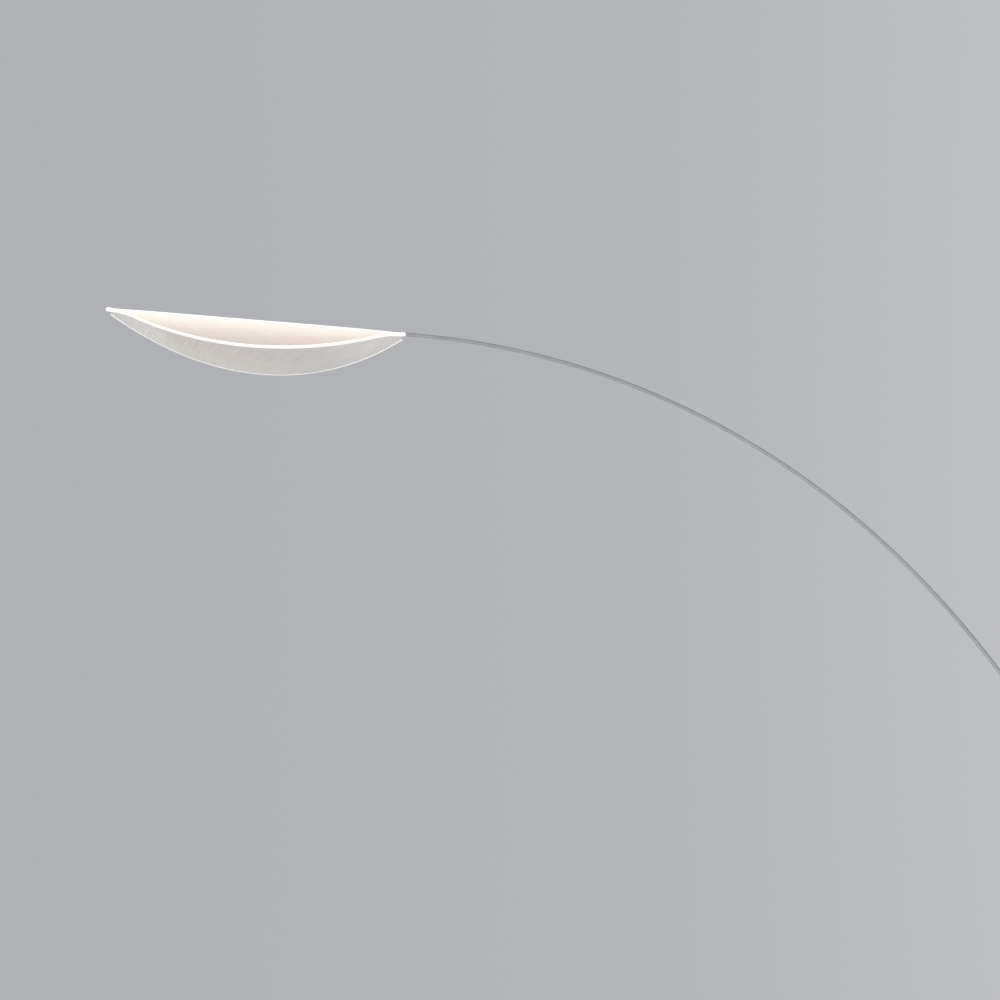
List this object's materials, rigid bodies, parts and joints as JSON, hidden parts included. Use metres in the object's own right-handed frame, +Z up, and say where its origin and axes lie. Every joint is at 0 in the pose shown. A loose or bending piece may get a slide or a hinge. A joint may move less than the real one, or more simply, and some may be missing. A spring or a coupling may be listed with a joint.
{
  "type": "arc floor lamp",
  "caption": "Arc floor lamp with a round weighted base, a slender curved stem and a leaf-shaped, edge-lit clear head that turns on the end of the stem.",
  "frame": {"origin": "on the floor, at the centre of the base pad's underside, on the axis that the stem turns on", "axes": "+Z up; the stem and the head reach out to -X at rest, and -Y is the front"},
  "size_m": [2.3442, 0.38, 2.0916],
  "materials": {
    "rubber": "matt black rubber",
    "cast_iron": "rough cast, blacked",
    "painted_steel": "satin grey powder coat",
    "satin_steel": "satin steel, drawn along its length",
    "dark_steel": "blacked steel",
    "aluminium": "satin anodised",
    "bronze": "turned bronze, oiled",
    "white_plastic": "natural white slide plastic",
    "black_plastic": "fine moulded texture",
    "circuit_board": "green solder resist",
    "ferrite": "matt ferrite",
    "lead_sheath": "soft pale sheath",
    "led_board": "white board with a row of light chips",
    "clear_acrylic": "polished clear acrylic with fine light-extraction lines, glowing warm white from its edges",
    "opal_acrylic": "opal acrylic, lit from inside"
  },
  "bodies": {
    "base": {"floor_pad": "rubber", "ballast_plate": "cast_iron", "base_cover": "painted_steel", "inlet_gland": "rubber", "driver_case": "black_plastic", "driver_lid": "black_plastic", "driver_board": "circuit_board", "driver_transformer": "ferrite", "terminal_block": "white_plastic", "driver_capacitor": "black_plastic", "dimmer_switch": "black_plastic", "dimmer_spring": "satin_steel", "base_socket": "satin_steel", "upper_bush": "bronze", "lower_bush": "bronze", "thrust_washer": "white_plastic", "flange_screw_1": "dark_steel", "flange_screw_2": "dark_steel", "flange_screw_3": "dark_steel", "flange_screw_4": "dark_steel", "base_lead": "lead_sheath", "dimmer_lead": "lead_sheath"},
    "dimmer": {"dimmer_button": "dark_steel"},
    "stem": {"friction_washer": "bronze", "retaining_nut": "dark_steel", "stem_foot": "satin_steel", "foot_grub_screw": "dark_steel", "lower_stem": "satin_steel", "upper_stem": "satin_steel", "joint_collar": "satin_steel", "collar_grub_screw": "dark_steel", "roll_bush": "bronze", "stem_lead": "lead_sheath"},
    "head": {"spine_bar": "aluminium", "spine_diffuser": "opal_acrylic", "led_strip_front": "led_board", "led_strip_back": "led_board", "wing_front": "clear_acrylic", "wing_back": "clear_acrylic", "wing_pin_front_1": "satin_steel", "wing_pin_front_2": "satin_steel", "wing_pin_front_3": "satin_steel", "wing_pin_back_1": "satin_steel", "wing_pin_back_2": "satin_steel", "wing_pin_back_3": "satin_steel", "tip_cap": "opal_acrylic", "roll_washer": "white_plastic", "hub_collar": "opal_acrylic", "roll_pin": "satin_steel", "roll_clip": "dark_steel", "head_lead": "lead_sheath"}
  },
  "joints": [
    {"name": "stem_swivel", "type": "hinge", "parent": "base", "child": "stem", "pos_m": [0, 0, 0.06], "axis": [0, 0, 1], "range_deg": [-170, 170]},
    {"name": "head_roll", "type": "hinge", "parent": "stem", "child": "head", "pos_m": [-1.44921, 0, 2.00123], "axis": [0.9925, 0, -0.1219], "range_deg": [-90, 90]},
    {"name": "dimmer_press", "type": "slide", "parent": "base", "child": "dimmer", "axis": [0, 0, 1], "range_m": [-0.003, 0], "stiffness_N_per_m": 1500, "springref_m": 0.003, "deforming": ["dimmer_spring"]}
  ]
}
